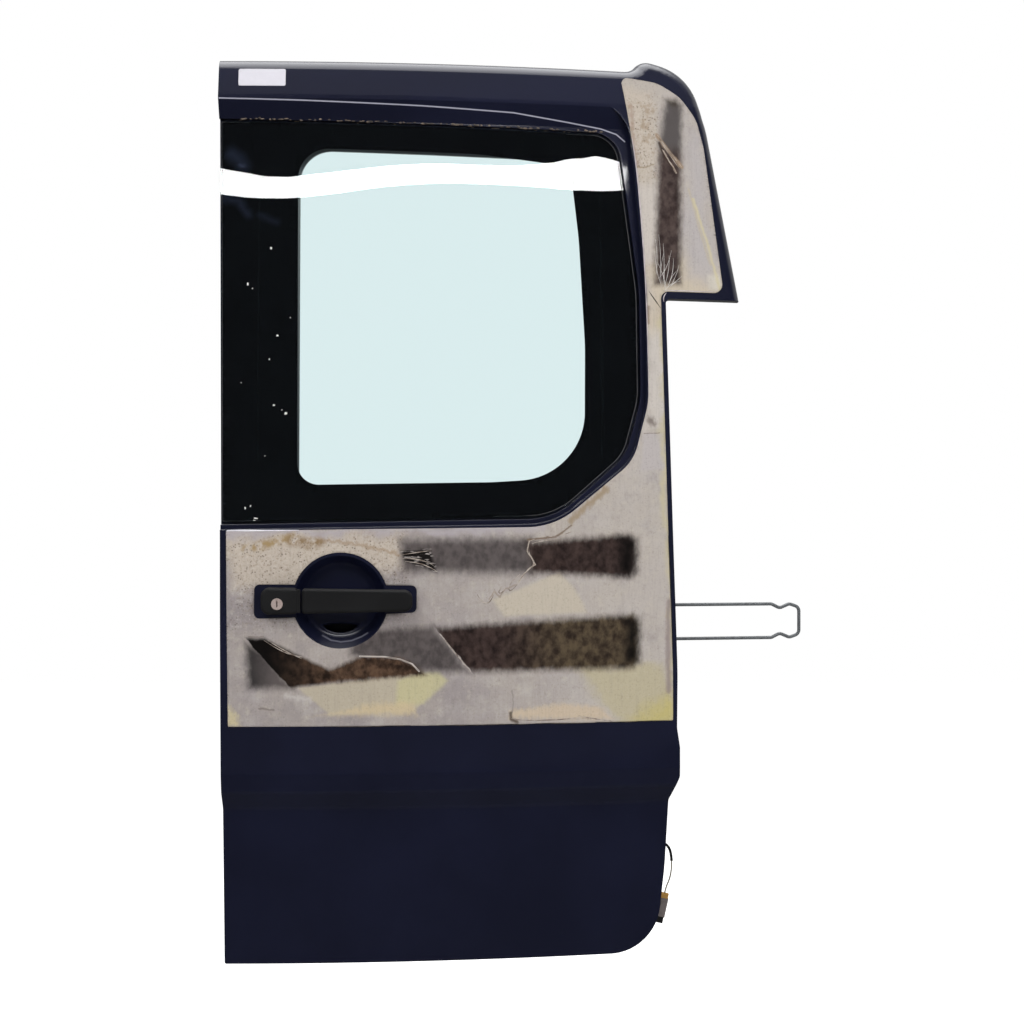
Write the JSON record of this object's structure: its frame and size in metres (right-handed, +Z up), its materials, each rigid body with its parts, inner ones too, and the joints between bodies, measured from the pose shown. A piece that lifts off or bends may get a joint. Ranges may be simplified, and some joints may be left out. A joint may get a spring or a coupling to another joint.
{
  "type": "van rear barn door",
  "caption": "Curved rear barn door of a van with a bonded window, pull handle in a round cup, upper corner horn, wire door check and a short wiring tail.",
  "frame": {"origin": "middle of the lower hinge pad's flat face, at the hinge edge", "axes": "+Z up, +X out of the hinge edge, +Y into the vehicle; the outer skin faces -Y"},
  "size_m": [0.8981, 0.2217, 1.377],
  "materials": {
    "navy_paint": "gloss navy paint",
    "inner_paint": "semi-gloss navy paint",
    "tinted_glass": "pale green tinted glass",
    "sealant": "cured sealant",
    "trim_plastic": "fine grain",
    "trim_board": "grained board",
    "clip_plastic": "moulded",
    "black_plastic": "moulded",
    "handle_plastic": "fine moulded grain",
    "steel": "bare steel",
    "zinc_steel": "zinc plated",
    "wire_steel": "dark spring steel",
    "lock_metal": "worn die casting",
    "black_rubber": "matt",
    "roller_plastic": "nylon",
    "wire_cover": "insulated wire",
    "ochre_plastic": "moulded",
    "grey_plastic": "moulded"
  },
  "bodies": {
    "door": {"outer_skin": "navy_paint", "inner_frame": "inner_paint", "horn_backing": "inner_paint", "window_glass": "tinted_glass", "window_bond_bead": "sealant", "window_trim": "trim_plastic", "trim_panel": "trim_board", "trim_clips": "clip_plastic", "handle_carrier": "black_plastic", "handle_pin": "steel", "handle_gasket": "black_rubber", "lock_cover": "handle_plastic", "latch_case": "black_plastic", "latch_claw": "steel", "hinge_pad_upper": "inner_paint", "hinge_pad_lower": "inner_paint", "check_plate": "zinc_steel", "check_guide": "black_plastic", "check_rollers": "roller_plastic", "harness_grommet": "black_rubber", "harness_sheath": "black_rubber", "harness_wire": "wire_cover", "connector_band": "ochre_plastic", "connector_body": "grey_plastic", "connector_cap": "black_plastic", "drain_plugs": "black_rubber"},
    "lever": {"handle_lever": "handle_plastic"},
    "lock": {"lock_barrel": "lock_metal"},
    "check": {"check_wire": "wire_steel"}
  },
  "joints": [
    {"name": "handle_pull", "type": "hinge", "parent": "door", "child": "lever", "pos_m": [-0.41294, -0.1432, 0.149], "axis": [0, 0, 1], "range_deg": [0, 12], "stiffness_Nm_per_rad": 4},
    {"name": "lock_turn", "type": "hinge", "parent": "door", "child": "lock", "pos_m": [-0.59281, -0.16577, 0.145], "axis": [-0.0696, 0.9976, 0], "range_deg": [-75, 75]},
    {"name": "check_slide", "type": "slide", "parent": "door", "child": "check", "axis": [0.9806, 0.1959, 0], "range_m": [-0.15, 0]}
  ]
}
